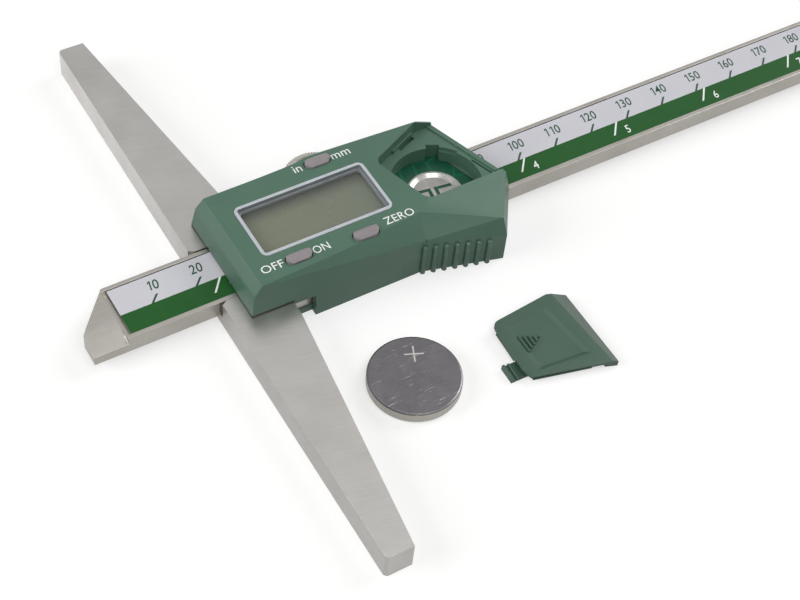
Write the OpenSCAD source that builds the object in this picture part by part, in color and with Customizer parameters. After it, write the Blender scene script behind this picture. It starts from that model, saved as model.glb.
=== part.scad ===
// Depth caliper with digital display: a bridge base with a slider frame, a graduated beam,
// a moulded display housing with an open battery well, and the battery cover and coin cell
// that lie beside it. Units: millimetres. +Z is up, the base and the back cover lie on Z = 0.
// X = 0 is the measuring face of the base, and the beam slides along X.

/* [Base] */
// length of the bridge base, end to end
base_len = 152; // [140:1:170]
// thickness of the base
base_h = 6.9; // [6.8:0.1:7.1]
// width of the base at its middle
base_mid_w = 13.5; // [12.5:0.5:13.5]
// width of the base at its ends
base_end_w = 6.1; // [5:0.1:8]

/* [Beam] */
// length of the graduated beam
beam_len = 276; // [274:1:300]
// width of the beam
beam_w = 14.5; // [14.1:0.1:14.8]
// thickness of the beam
beam_t = 4.2; // [3.9:0.1:4.3]
// how far the tip stands out of the base as modelled, which is the depth it reads
reading = 28.4; // [24:0.1:40]
// width of the tip's end face that is left beside its slanted cut
tip_face_w = 5.1; // [4:0.1:6]
// width of the printed scale label
label_w = 12.3; // [11.9:0.1:12.4]

/* [Housing] */
// height of the housing's top face
top_z = 15.2; // [15.2:0.1:15.8]
// wall of the moulded housing
wall = 1.5; // [1.3:0.1:1.6]
// depth of the recess for the battery cover, below the top face
cover_depth = 3.2; // [3:0.1:3.4]
// number of ribs on the thumb grip
grip_ribs = 7; // [5:1:8]

/* [Display] */
// outer length of the display frame
bezel_len = 31.2; // [30:0.1:32]
// outer width of the display frame
bezel_w = 14.7; // [14:0.1:14.8]
// width of the display frame's rim
bezel_rim = 0.8; // [0.7:0.1:1]

/* [Buttons] */
// length of each oblong push button
button_len = 5.8; // [5.6:0.1:6.1]
// width of each push button
button_w = 2.6; // [2.4:0.1:2.7]
// height that a button stands above the top face
button_proud = 0.8; // [0.5:0.05:0.9]
// travel of a button
button_travel = 0.35; // [0.3:0.05:0.4]

/* [Thumb roller] */
// radius of the knurled thumb roller
roller_r = 7.7; // [7.5:0.1:7.8]
// thickness of the thumb roller
roller_h = 3.9; // [3.6:0.1:4]

/* [Coin cell] */
// diameter of the coin cell
cell_d = 20; // [20:20]
// thickness of the coin cell
cell_t = 3.2; // [3.2:3.2]

/* [Hidden] */
$fn = 48;
slide_gap = 0.04;    // running clearance of the beam in its channel
fit = 0.15;          // clearance of a moulded piece in its seat
eps = 0.01;

// beam and channel
beam_z = base_h - beam_t;
beam_y = beam_w / 2;
label_t = 0.15;
grid_t = 0.8;
label_drop = 0.2;                       // label face below the beam's rims
recess_z = base_h - label_drop - label_t - grid_t;
recess_x = -reading + 7.6;              // end wall of the label's recess
label_x = recess_x + 1.2;
label_end = 9.2;                        // plain steel left at the far end
beam_x1 = beam_len - reading;
gib_t = 1;
wall_n = beam_y + 0.3;                  // channel wall on the roller side, at the base

// slider frame
frame_x1 = 56;
frame_y = 12.4;
frame_z = 1.6;
slider_x1 = 66.8;                       // rear end of the housing over the beam

// thumb roller, which bears on the beam's edge
roller_x = 34.8;
roller_z = beam_z + 0.2;
roller_y = beam_y + roller_r + 0.03;
lug_r = 2.4;
pin_r = 1;

// main board
board_z = base_h + 0.15;
board_t = 1;
board_top = board_z + board_t;

// housing faces
hous_x0 = 3.85;
floor_z = top_z - cover_depth;          // floor of the cover's recess
side_s = -14.35;                        // lower edge of the long side next to the power button
side_n = 15.3;                          // lower edge of the opposite side
seam_x = 39.75;                         // where the back cover wraps up the sides
seam_z = 5.3;
skirt_x = 18.7;
grip_w = [44.6, -14.4];                 // start of the flared grip
grip_e = [62.8, -19.2];                 // its rear corner
tail_e = [69.9, -8.4];                  // rear corner of the housing
tail_n = [61.8, 14.3];
crest_s = [45.3, -10.3, top_z];           // where the hump behind the display begins
flare_w = [44.4, -14.3, 10.2];          // upper edge of the grip, front and rear
flare_e = [62.8, -19.2, 7.7];
shoulder = [62.2, -17.5, 12];

// battery well and recess
well = [54.6, -2.4];
well_r = cell_d / 2 + 0.25;
dish_h = 0.7;
cell_z = board_top + dish_h;            // underside of a fitted cell
well_top = cell_z + cell_t + 0.2;       // ceiling of the well where it runs under the top face
rec_w = [44.2, 6.7];
rec_s = [48.9, -7.9];
rec_e = [68.1, -6.2];
rec_ne = [61.1, 12.9];
rec_n = [57.6, 12.9];
rim_z = floor_z + 0.35;                 // low rim along the rear edge

// display
bezel_c = [25.8, 0.7];
pane_z = top_z - 0.85;                  // face of the clear window
lcd_t = 1.6;
lcd_z = top_z - 1.95 - lcd_t;

// buttons: power, zero, units
button_power_at = [16.7, -9.75];
button_zero_at = [32.2, -10.4];
button_units_at = [32.8, 12.05];
dome_h = 0.35;
top_wall = 1.6;

// where the loose pieces lie
cell_at = [27.95, -39.5];
cover_at = [58.55, -44.43];
cover_turn = -19;
cover_tilt = 3.4;                       // its straight side lies lower, on a shallow skirt

// ---- helpers ----

// unit normal of the plane through three points, turned upward
function up_normal(a, b, c) =
    let (n = cross(b - a, c - a), s = n[2] < 0 ? -1 : 1) s * n / norm(n);

// everything above the plane through three points
module above(a, b, c) {
    n = up_normal(a, b, c);
    translate(a) rotate([0, acos(n[2]), atan2(n[1], n[0])])
        translate([-120, -120, 0]) cube([240, 240, 120]);
}

// convex outline with a rounding radius at each corner
module rounded(pts, radii) {
    n = len(pts);
    function d_of(i) = let (p = pts[i], a = pts[(i + n - 1) % n], b = pts[(i + 1) % n],
        u = (a - p) / norm(a - p), v = (b - p) / norm(b - p), h = acos(u * v) / 2)
        [radii[i] / tan(h), u, v, radii[i] / sin(h)];
    polygon([for (i = [0:n - 1]) let (d = d_of(i))
        each (radii[i] == 0 ? [pts[i]] : [pts[i] + d[1] * d[0], pts[i] + d[2] * d[0]])]);
    for (i = [0:n - 1]) if (radii[i] > 0) {
        d = d_of(i);
        translate(pts[i] + (d[1] + d[2]) / norm(d[1] + d[2]) * d[3]) circle(r = radii[i]);
    }
}

// oblong with round ends, length along X
module oblong(l, w) {
    square([l - w, w], center = true);
    for (s = [-1, 1]) translate([s * (l - w) / 2, 0]) circle(d = w);
}

module box(x0, x1, y0, y1, z0, z1) translate([x0, y0, z0]) cube([x1 - x0, y1 - y0, z1 - z0]);

// ---- base and slider frame ----

module base_outline() polygon([[0, -base_len / 2 + 0.6], [0.6, -base_len / 2],
    [base_end_w, -base_len / 2], [base_mid_w, -17.1], [base_mid_w, 17.1],
    [base_end_w, base_len / 2], [0.6, base_len / 2], [0, base_len / 2 - 0.6]]);

module measuring_base() color("Silver") difference() {
    union() {
        linear_extrude(base_h) base_outline();
        box(base_mid_w - 1, frame_x1, -frame_y, frame_y, frame_z, base_h);
    }
    // channel for the beam, wider behind the base where the gibs sit
    box(-1, frame_x1 + 1, -beam_y - slide_gap, wall_n, beam_z - slide_gap, base_h + 1);
    box(base_mid_w, frame_x1 + 1, 0, beam_y + 2 * slide_gap + gib_t, beam_z - slide_gap, base_h + 1);
    // corner reliefs where the channel meets the measuring face
    for (y = [-beam_y, wall_n]) translate([0, y, beam_z - slide_gap])
        linear_extrude(base_h) polygon([[-1, -0.7], [0.2, -0.7], [1.3, 0], [0.2, 0.7], [-1, 0.7]]);
    // room for the thumb roller, open to the side
    translate([roller_x, roller_y, beam_z - slide_gap]) cylinder(r = roller_r + 0.5, h = base_h);
    // threaded holes of the gib screws, and of the board and cover screws
    for (x = gib_screw_x) translate([x, frame_y + 1, gib_z]) rotate([90, 0, 0])
        cylinder(r = 0.8, h = frame_y - beam_y + 1);
    for (p = board_screw_at) translate([p[0], p[1], base_h - 3.2]) cylinder(r = 0.68, h = 5);
    for (p = cover_screw_at) translate([p[0], p[1], -1]) cylinder(r = 0.78, h = 5.1);
}

gib_z = beam_z + beam_t / 2;
gib_screw_x = [17, 23, 50];
board_screw_at = [[24.5, -9.1], [47, 9.9]];

module gib(x0, x1) box(x0, x1, beam_y + slide_gap, beam_y + slide_gap + gib_t, beam_z, base_h - 0.4);

module gib_front() color("Goldenrod") gib(base_mid_w + 0.5, 26.2);

module gib_rear() color("Goldenrod") gib(44.4, frame_x1);

module gib_screws() color("DimGray") for (x = gib_screw_x)
    translate([x, frame_y - 0.2, gib_z]) rotate([90, 0, 0]) difference() {
        cylinder(r = 0.8, h = frame_y - 0.2 - beam_y - slide_gap - gib_t);
        translate([-0.15, -1, -1]) cube([0.3, 2, 1.5]);
    }

// ---- beam ----

module beam() color("Gainsboro") difference() {
    box(-reading, beam_x1, -beam_y, beam_y, beam_z, base_h);
    // recess for the grid and the label
    box(recess_x, beam_x1 - label_end, -label_w / 2 - 0.05, label_w / 2 + 0.15, recess_z, base_h + 1);
    // slanted cut that leaves a narrow tip
    translate([0, 0, beam_z - 1]) linear_extrude(beam_t + 2) polygon([[-reading - 1, beam_y + 1],
        [-reading - 1, -beam_y + tip_face_w - 1], [-reading, -beam_y + tip_face_w],
        [recess_x + 0.4, beam_y], [recess_x + 0.4, beam_y + 1]]);
    // long bevel along the tip
    intersection() {
        above([-reading, -1, base_h], [recess_x, -1, base_h], [recess_x, -beam_y, base_h - 1.8]);
        box(-reading - 1, recess_x + eps, -beam_y - 1, -0.9, beam_z, base_h + 1);
    }
    // threaded hole of the stop screw
    translate([stop_x, 0, beam_z - 1]) cylinder(r = 0.8, h = beam_t + 2);
}

stop_r = 1.9;
stop_x = beam_x1 - 6.9;                 // meets the housing's rear end at full depth

module scale_grid() color("DarkKhaki")
    box(label_x, beam_x1 - label_end - 0.1, -label_w / 2, label_w / 2, recess_z, recess_z + grid_t);

module scale_label() color("WhiteSmoke")
    box(label_x, beam_x1 - label_end - 0.1, -label_w / 2, label_w / 2, recess_z + grid_t,
        recess_z + grid_t + label_t);

module stop_screw() color("Silver") translate([stop_x, 0, 0]) difference() {
    union() {
        translate([0, 0, base_h]) cylinder(r = stop_r, h = 1.2);
        translate([0, 0, beam_z + 0.3]) cylinder(r = 0.8, h = beam_t);
    }
    translate([-3, -0.25, base_h + 0.7]) cube([6, 0.5, 1]);
}

// ---- housing ----

module hous_plan() polygon([[hous_x0 + 0.8, side_s], grip_w + [0, side_s + 14.4], grip_e, tail_e,
    tail_n, [60.8, 14.9], [57.7, 14.8], [32.3, 16.2], [26.5, side_n], [hous_x0 + 0.8, side_n],
    [hous_x0, side_n - 0.8], [hous_x0, side_s + 0.8]]);

// upright ribs on the flared side, shorter toward the rear
module grip_rib_row() {
    a = grip_w + [0, side_s + 14.4];
    for (i = [0:grip_ribs - 1]) {
        t = i / (grip_ribs - 1);
        p = a + (grip_e - a) * (0.01 + 0.78 * t);
        h = 8 - 1.3 * t;
        translate([p[0] + 0.05, p[1] - 0.2, 0]) {
            cylinder(r = 0.6, h = h);
            translate([0, 0, h]) sphere(r = 0.6);
        }
    }
}

// slanted faces that shape the moulded block
module hous_faces() {
    z6 = 6.9;
    // front: a tall lower face and a bevel up to the crest
    above([hous_x0, -10, z6], [hous_x0, 10, z6], [hous_x0 + 0.6, 0, top_z - 2.7]);
    above([hous_x0 + 0.6, -10, top_z - 2.7], [hous_x0 + 0.6, 10, top_z - 2.7], [6.35, 0, top_z]);
    // long sides lean in
    intersection() {
        above([6.3, side_s, 0], flare_w, [6.3, side_s + 1.1, top_z]);
        box(-5, 45.2, -30, 0, -1, 30);
    }
    intersection() {
        above([0, side_n, 0], [40, side_n, 0], [6.3, side_n - 1.6, top_z]);
        box(-5, 26.6, 0, 30, -1, 30);
    }
    intersection() {
        above([32.3, 16.2, 0], [57.7, 14.8, 0], [32.3, 14.7, top_z]);
        box(32.3, 80, 8, 30, -1, 30);
    }
    intersection() {
        above([26.5, side_n, 0], [32.3, 16.2, 0], [32.3, 14.7, top_z]);
        box(26.4, 32.31, 8, 30, -1, 30);
    }
    // bevel that widens toward the grip, in two faces
    intersection() {
        union() {
            above([6.3, side_s + 1.15, top_z], [26, -12.35, top_z], flare_w);
            above([26, -12.35, top_z], crest_s, flare_w);
        }
        region([[6.3, -30], [40.9, -30], [45.3, -10.3], [45.3, -5], [6.3, -5]]);
    }
    // hump behind the display, sloping down to the shoulder
    intersection() {
        above([rec_s[0], rec_s[1], top_z], crest_s, shoulder);
        region([[45.3, -10.3], rec_s, [66, 3.5], [90, 0], [90, -30], [44.9, -30], [44.9, -14]]);
    }
    // shoulder above the grip, and the bevel of the rear corner
    intersection() {
        union() {
            above(flare_w, flare_e, shoulder);
            above(crest_s, flare_w, shoulder);
        }
        region([[40.9, -30], [45.3, -10.3], [45.3, 0], [90, 0], [90, -40]]);
    }
    intersection() {
        above(flare_e + [0.05, 0.1, 0], [tail_e[0], tail_e[1], 9.2], shoulder + [0.2, 0, 0]);
        box(60, 90, -40, -5, 5, 30);
    }
    // end of the recess's long wall, sloping down to the rim
    intersection() {
        above([57.6, 10, top_z], [57.6, 16, top_z], [61.6, 14, top_z - 1.9]);
        box(57.5, 80, 11.5, 30, rim_z, 30);
    }
}

// upright prism that limits a slanted cut to one part of the plan
module region(pts) translate([0, 0, 5]) linear_extrude(30) polygon(pts);

module recess_plan() rounded([rec_w, rec_s, rec_e, rec_ne, rec_n], [1.8, 2, 0, 0, 0]);

module housing() color("SeaGreen") difference() {
    union() {
        difference() {
            linear_extrude(top_z) hous_plan();
            hous_faces();
        }
        grip_rib_row();
    }
    // seat over the base, and the step behind it
    box(-1, base_mid_w + 0.1, -30, 30, -1, base_h);
    box(-1, skirt_x, -30, 30, -1, 6.2);
    // shadow gap along the lower edges over the base
    box(-1, hous_x0 + 0.4, -30, 30, base_h - 1, base_h + 0.2);
    for (y = [-30, side_n - 0.6]) box(-1, base_mid_w + 0.1, y, y + 30 + side_s + 0.6, base_h - 1, base_h + 0.2);
    // shallow arch over the beam at the front
    box(-1, hous_x0 + 1.2, -beam_y + 1, beam_y - 0.4, 6, base_h + 0.9);
    // room for the back cover and its walls
    box(-1, 80, side_s + wall, side_n - wall, -1, 2.2);
    difference() {
        box(seam_x, 90, -30, 30, -1, 30);
        above([seam_x, 0, seam_z], [seam_x, 5, seam_z], [62.8, 0, 4.45]);
    }
    // space for the slider frame and the board
    box(base_mid_w, frame_x1 + 0.3, -frame_y - 0.3, frame_y + 0.3, -1, board_top + 0.15);
    translate([0, 0, -1]) linear_extrude(board_top + 1.15) board_room();
    // inner space under the display and the buttons
    box(6.9, 43, -10.6, 12.2, base_h - eps, top_z - top_wall - 0.3);
    box(6.9, 43, -11.9, -9, base_h - eps, top_z - top_wall - 0.8);
    box(29.4, 36.4, 9.9, 12.2, board_z + 0.4, top_z - top_wall);
    // pockets for the screw heads and for the collars of the buttons
    for (p = board_screw_at) translate([p[0], p[1], board_z]) cylinder(r = 1.5, h = board_t + 0.7);
    for (p = [button_power_at, button_zero_at, button_units_at])
        translate([p[0], p[1], top_z - top_wall - 2]) linear_extrude(2)
            oblong(button_len + 1.2, button_w + 0.3);
    // passage of the beam at the rear
    box(50, 90, -beam_y - 0.4, beam_y + 0.4, -1, base_h + 0.35);
    // opening of the display frame
    translate([bezel_c[0], bezel_c[1], top_z - 3]) linear_extrude(5)
        rounded_box(bezel_len - 2 * bezel_rim + 0.1, bezel_w - 2 * bezel_rim + 0.1, 1.4);
    translate([bezel_c[0], bezel_c[1], top_z - 1.1]) linear_extrude(5)
        rounded_box(bezel_len + 0.1, bezel_w + 0.1, 1.6);
    // wells of the buttons
    for (p = [button_power_at, button_zero_at, button_units_at])
        translate([p[0], p[1], top_z - top_wall - 0.1]) linear_extrude(8)
            oblong(button_len + 0.5, button_w + 0.3);
    // slot for the thumb roller in the side, and the bore of its pin
    translate([roller_x, roller_y, beam_z - slide_gap]) cylinder(r = roller_r + 0.5, h = roller_h + 0.5);
    translate([roller_x, roller_y, 2]) cylinder(r = pin_r + 0.03, h = 8);
    translate([roller_x, roller_y, -1]) cylinder(r = lug_r + fit, h = beam_z + 1);
    box(roller_x, seam_x + 1, frame_y, 30, -1, beam_z);
    // recess of the battery cover, with a narrow lip along its long wall
    difference() {
        translate([0, 0, floor_z]) linear_extrude(10) recess_plan();
        latch_frame() translate([6.6, -0.4, floor_z - 1]) cube([7.2, 3, 1.9]);
    }
    // low rim at the rear edge, open beside the corner for the cover's foot
    translate([0, 0, rim_z]) linear_extrude(10) polygon([rec_ne + [0.2, 0], [80, 12.9], [80, -6.2],
        rec_e + [-1, 0], rec_ne - [1, 0.5]]);
    box(66.5, 80, -6.2, -5.3, floor_z, 30);
    // pocket of the cover's tongue under the hump
    tongue_frame() translate([-2.8, -3.3, floor_z + 0.6]) cube([4.5, 3.7, 2]);
    // battery well down to the board, with a notch and a shallow step in its wall
    translate([well[0], well[1], board_top - eps]) cylinder(r = well_r, h = well_top - board_top);
    translate([well[0], well[1], 0]) intersection() {
        translate([0, 0, floor_z - 1]) cylinder(r = well_r + 0.5, h = 2);
        linear_extrude(20) polygon([[0, 0], [14 * cos(33.5), 14 * sin(33.5)], [14 * cos(64), 14 * sin(64)]]);
    }
    translate([well[0], well[1], board_top - eps]) rotate([0, 0, 64])
        translate([0, -1.5, 0]) cube([well_r + 1.1, 3, well_top - board_top]);
    // pocket of the positive contact
    translate([well[0], well[1], board_top - eps]) rotate([0, 0, -100])
        translate([0, -2, 0]) cube([well_r + 1.1, 4, floor_z - board_top - 0.5]);
    // latch slot beside that lip, and slit beside the rear rim
    latch_frame() translate([8.6, -1.25, floor_z - 1.2]) cube([5, 0.85, 2]);
    translate([rec_e[0], rec_e[1], floor_z - 0.6]) rotate([0, 0, 110.4])
        translate([0.9, 0.5, 0]) cube([6, 0.45, 5]);
}

// frame with X along the recess's short wall at the cover's tongue, Y into the recess
module tongue_frame() translate([47.95, -5, 0]) rotate([0, 0, -72.2]) children();

// frame with X along the recess's long wall from its corner, Y into the recess's wall
module latch_frame() translate([rec_w[0], rec_w[1], 0])
    rotate([0, 0, atan2(rec_n[1] - rec_w[1], rec_n[0] - rec_w[0])]) children();

module rounded_box(l, w, r) {
    square([l - 2 * r, w], center = true);
    square([l, w - 2 * r], center = true);
    for (x = [-1, 1], y = [-1, 1]) translate([x * (l / 2 - r), y * (w / 2 - r)]) circle(r = r);
}

// plan of the board where it widens behind the frame
module board_room() polygon([[45, -12.4], [49, -12.9], [61.4, -15.6], [66.7, -8], [60.2, 10.8],
    [58.4, 12.4], [45, 12.4]]);

// ---- back cover ----

module back_plan() polygon([[seam_x, side_s], grip_w + [0, side_s + 14.4], grip_e, tail_e, tail_n,
    [60.8, 14.9], [57.7, 14.8], [44, 15.55], [seam_x, 15.7]]);

module back_cover() color("DarkSlateGray") difference() {
    union() {
        box(14.4, seam_x + 1, side_s + wall + 0.1, side_n - wall - 0.1, 0, frame_z);
        difference() {
            union() {
                linear_extrude(7) back_plan();
                grip_rib_row();
                // lug and wall under the thumb roller
                intersection() {
                    union() {
                        translate([roller_x, roller_y, 0]) cylinder(r = lug_r, h = beam_z - 0.2);
                        box(roller_x, seam_x + 1, frame_y, 30, 0, beam_z - 0.2);
                    }
                    linear_extrude(beam_z) hous_plan();
                    box(0, 80, frame_y + 0.1, 30, 0, beam_z);
                }
            }
            above([seam_x, 0, seam_z], [seam_x, 5, seam_z], [62.8, 0, 4.45]);
            intersection() {
                above([32.3, 16.2, 0], [57.7, 14.8, 0], [32.3, 14.7, top_z]);
                box(32.3, 80, 8, 30, -1, 30);
            }
            // inside, around the frame and the beam
            box(seam_x - 1, frame_x1 + 0.3, -frame_y - 0.4, frame_y + 0.4, frame_z, 10);
            translate([0, 0, frame_z]) linear_extrude(10) intersection() {
                board_room();
                translate([30, -20]) square([60, 40]);
            }
            box(50, 90, -beam_y - 0.4, beam_y + 0.4, beam_z - 0.4, 10);
        }
        box(roller_x - lug_r, roller_x + lug_r, 10, roller_y, 0, frame_z - 0.02);
    }
    translate([roller_x, roller_y, 0.8]) cylinder(r = pin_r + 0.03, h = 8);
    translate([roller_x, roller_y, beam_z - 0.2]) cylinder(r = roller_r + 0.5, h = 8);
    // countersunk screw holes
    for (p = cover_screw_at) translate([p[0], p[1], -1]) {
        cylinder(r = 0.85, h = 5);
        cylinder(r = 1.65, h = 1.9);
    }
}

cover_screw_at = [[20, -10], [20, 10.2], [53, -10], [53, 10.4]];

module cover_screws() color("Silver") for (p = cover_screw_at) translate([p[0], p[1], 0.1])
    difference() {
        union() {
            cylinder(r = 1.55, h = 0.8);
            cylinder(r = 0.75, h = frame_z + 2.1);
        }
        translate([-0.2, -0.9, -1]) cube([0.4, 1.8, 1.4]);
        translate([-0.9, -0.2, -1]) cube([1.8, 0.4, 1.4]);
    }

// strip that wipes the beam under the front of the housing
module beam_wiper() color("DimGray")
    box(hous_x0 + 0.25, hous_x0 + 1.1, -beam_y + 1.1, beam_y - 0.5, base_h, base_h + 0.85);

// ---- display ----

module lcd_bezel() color("Silver") translate([bezel_c[0], bezel_c[1], 0]) difference() {
    union() {
        translate([0, 0, top_z - 1.1]) linear_extrude(1.25) rounded_box(bezel_len, bezel_w, 1.55);
        translate([0, 0, top_z - 1.6]) linear_extrude(1)
            rounded_box(bezel_len - 2 * bezel_rim, bezel_w - 2 * bezel_rim, 1.4);
    }
    translate([0, 0, pane_z]) linear_extrude(3)
        rounded_box(bezel_len - 2 * bezel_rim, bezel_w - 2 * bezel_rim, 0.5);
    translate([0, 0, pane_z - 2]) linear_extrude(3)
        rounded_box(bezel_len - 2 * bezel_rim - 0.8, bezel_w - 2 * bezel_rim - 0.8, 0.9);
}

module lcd_window() color("LightCyan", 0.4) translate([bezel_c[0], bezel_c[1], pane_z - 0.8])
    linear_extrude(0.8) rounded_box(bezel_len - 2 * bezel_rim - 0.9, bezel_w - 2 * bezel_rim - 0.9, 0.8);

module lcd_panel() color("DarkSeaGreen") translate([bezel_c[0], bezel_c[1], lcd_z]) difference() {
    translate([-bezel_len / 2 + 0.9, -bezel_w / 2 + 0.9, 0]) cube([bezel_len - 1.8, bezel_w - 1.8, lcd_t]);
    // step of the lower glass, where the contacts lie
    translate([-20, bezel_w / 2 - 2.4, -1]) cube([40, 5, 1.2]);
}

module zebra_strips() color("Plum") for (y = [-1, 1]) translate([bezel_c[0], bezel_c[1], 0])
    box(-bezel_len / 2 + 2, bezel_len / 2 - 2, y * (bezel_w / 2 - 3.4) - 0.8, y * (bezel_w / 2 - 3.4) + 0.8,
        board_top, lcd_z);

// ---- electronics ----

module main_board() color("DarkGreen") difference() {
    translate([0, 0, board_z]) linear_extrude(board_t) polygon([[7.2, -11.7], [44.8, -11.7], [45.4, -12],
        [49, -12.5], [61.1, -15.1], [66.2, -8], [59.9, 10.5], [58.2, 12], [7.2, 12]]);
    for (p = board_screw_at) translate([p[0], p[1], 0]) cylinder(r = 0.8, h = 20);
}

module board_screws() color("Silver") for (p = board_screw_at) translate([p[0], p[1], 0]) difference() {
    union() {
        translate([0, 0, board_top]) cylinder(r = 1.3, h = 0.5);
        translate([0, 0, base_h - 3]) cylinder(r = 0.65, h = board_top - base_h + 3.3);
    }
    translate([-2, -0.15, board_top + 0.2]) cube([4, 0.3, 1]);
}

module switch_domes() color("Silver") for (p = [button_power_at, button_zero_at, button_units_at])
    translate([p[0], max(-10.1, min(p[1], 10.4)), board_top]) {
        cylinder(r = 1.6, h = 0.15);
        cylinder(r = 1.1, h = dome_h);
    }

// dished negative contact with two cut spring fingers
module battery_dish() color("Silver") translate([well[0], well[1], board_top]) difference() {
    cylinder(r = 6.3, h = dish_h);
    translate([0, 0, 0.2]) cylinder(r1 = 5.0, r2 = 5.9, h = dish_h - 0.19);
    for (a = [-8, 172]) rotate([0, 0, a]) {
        translate([0.4, 1.2, -1]) cube([4.1, 0.8, 3]);
        translate([0.4, -2, -1]) cube([4.1, 0.8, 3]);
        translate([0.4, -2, -1]) cube([0.8, 4, 3]);
    }
}

// spring strip that bears on the side of the cell
module battery_clip() color("Gold") translate([well[0], well[1], board_top]) rotate([0, 0, -100]) {
    translate([well_r + 0.65, -1.7, 0]) cube([0.25, 3.4, floor_z - board_top - 0.8]);
    translate([well_r - 0.6, -1.2, 0]) cube([1.4, 2.4, 0.2]);
}

// ---- buttons ----

module button(p, flange) color("RosyBrown") translate([p[0], p[1], 0]) {
    difference() {
        translate([0, 0, top_z - top_wall - 0.4]) linear_extrude(top_wall + 0.4 + button_proud)
            oblong(button_len, button_w);
        // softened upper edges of the cap
        for (s = [-1, 1]) scale([1, s, 1]) above([0, button_w / 2 - 0.55, top_z + button_proud],
            [9, button_w / 2 - 0.55, top_z + button_proud], [0, button_w / 2, top_z + button_proud - 0.45]);
    }
    translate([0, 0, top_z - top_wall - 0.62]) linear_extrude(0.6) oblong(button_len + 0.8, flange);
    // stem, which stops its travel above the switch
    translate([0, p[1] > 0 ? 10.8 - p[1] : 0, board_top + dome_h + button_travel + 0.05])
        cylinder(r = 0.8, h = top_z - top_wall - 0.1 - board_top - dome_h - button_travel);
}

module button_power() button(button_power_at, button_w);
module button_zero() button(button_zero_at, button_w);
module button_units() button(button_units_at, button_w);

// ---- thumb roller ----

module thumb_roller() color("LightGray") translate([roller_x, roller_y, roller_z]) difference() {
    cylinder(r = roller_r, h = roller_h);
    translate([0, 0, -1]) cylinder(r = pin_r + 0.05, h = roller_h + 2);
    // dished faces
    for (z = [-0.6, roller_h - 0.4]) translate([0, 0, z]) difference() {
        cylinder(r = roller_r - 1.3, h = 1);
        translate([0, 0, -1]) cylinder(r = pin_r + 1, h = 3);
    }
}

module roller_pin() color("Silver") translate([roller_x, roller_y, 0.8])
    cylinder(r = pin_r, h = board_z + 0.9);

// ---- battery cover, drawn in its seat and then laid on the floor ----

module cover_seat_plan(g) rounded([rec_w + [g, 0], [48.15, -5.7], [49.9, rec_s[1] + g + 0.1],
    [tail_x(-6.2) - 0.1, -6.2 + g], [tail_x(12.7) - 0.1, 12.7 - g], rec_n + [0, -g - 0.2]],
    [1.8, 0.8, 0.8, 0, 0, 0]);

// rear edge of the housing at a given Y
function tail_x(y) = tail_n[0] + (tail_e[0] - tail_n[0]) * (tail_n[1] - y) / (tail_n[1] - tail_e[1]);

cover_h = cover_depth - 0.05;
cover_pivot = [56, 1];
plate_t = 0.8;
dish_sink = 0.6;

module battery_cover() color("MediumSeaGreen") translate([cover_at[0], cover_at[1], 0])
    rotate([0, 0, cover_turn]) translate([-cover_pivot[0], -cover_pivot[1], 0]) difference() {
        translate([0, 12, cover_h]) rotate([cover_tilt, 0, 0]) translate([0, -12, -cover_h]) cover_body();
        box(30, 80, -20, 20, -5, 0);
    }

module cover_body() difference() {
    union() {
        translate([0, 0, cover_h - plate_t]) linear_extrude(plate_t) cover_seat_plan(fit);
        // skirt set back under the plate, and the sloping rear part over the housing's rim
        linear_extrude(cover_h - 0.2) polygon([[46.3, 6.4], [50, -5], [51.3, -6], [67, -4.9], [61, 11.9],
            [57.4, 12]]);
        translate([0, 0, 0.4]) linear_extrude(cover_h - 0.4) polygon([[59.6, 12.55], [66.3, -6.05],
            [tail_x(-6.2) - 0.1, -6.05], [tail_x(12.7) - 0.1, 12.55]]);
        box(67.9, tail_x(-6.2) - 0.2, -6.05, -5.4, 0, 1);
        // lips below the plate along the short and the straight side
        translate([rec_s[0] + 1.2, rec_s[1] + fit + 0.15, 1.75]) rotate([0, 0, 5.3]) cube([13.2, 2.4, 0.4]);
        translate([44.9, 4.9, 1.3]) rotate([0, 0, -72.2]) translate([0, 0.1, 0]) cube([7.4, 2.6, 0.6]);
        // tongue that slides under the housing, with a hooked end
        tongue_frame() {
            translate([-2.6, -3, 0.8]) cube([4.1, 5.7, 0.9]);
            translate([-2.6, -3, 0.8]) cube([4.1, 0.6, 1.6]);
            translate([-2.6, -1.7, 0.8]) cube([4.1, 0.5, 1.3]);
        }
    }
    // sloping rear face
    above([58.5, 13.1, cover_h], [67.4, -5.5, cover_h], [62.1, 14.2, cover_h - 1.4]);
    // groove between the plate and its lip
    translate([rec_s[0] + 1.2, rec_s[1] - 0.5, 2.15]) rotate([0, 0, 5.3]) cube([13.2, 1.5, 0.6]);
    // hollow underside
    translate([0, 0, -1]) linear_extrude(1 + cover_h - 1.25) polygon([[47.9, 5.3], [51.2, -3.9],
        [65.3, -3.2], [60.1, 10.3], [57.2, 10.8]]);
    // finger dish with sloping edges and an arrow of ridges that shows the way it slides
    difference() {
        intersection() {
            box(40, 70, -10, 15, cover_h - dish_sink, cover_h + 2);
            above([46.1, 6.2, cover_h], [56.7, 9.6, cover_h], [51.7, 6.95, cover_h - dish_sink]);
            above([56.7, 9.6, cover_h], [63.7, -3.3, cover_h], [59.3, 2.67, cover_h - dish_sink]);
            above([63.7, -3.3, cover_h], [53.2, -5.8, cover_h], [58.2, -3.6, cover_h - dish_sink]);
            above([46.1, 6.2, cover_h], [51.3, -6.3, cover_h], [50.3, 0.67, cover_h - dish_sink]);
        }
        translate([50, 0.9, 0]) rotate([0, 0, 20.9]) for (i = [0:4])
            translate([0.98 * i - 0.2, -(4.5 - i) / 2, 0]) cube([0.4, 4.5 - i, cover_h - 0.05]);
    }
}

// ---- coin cell ----

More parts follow.
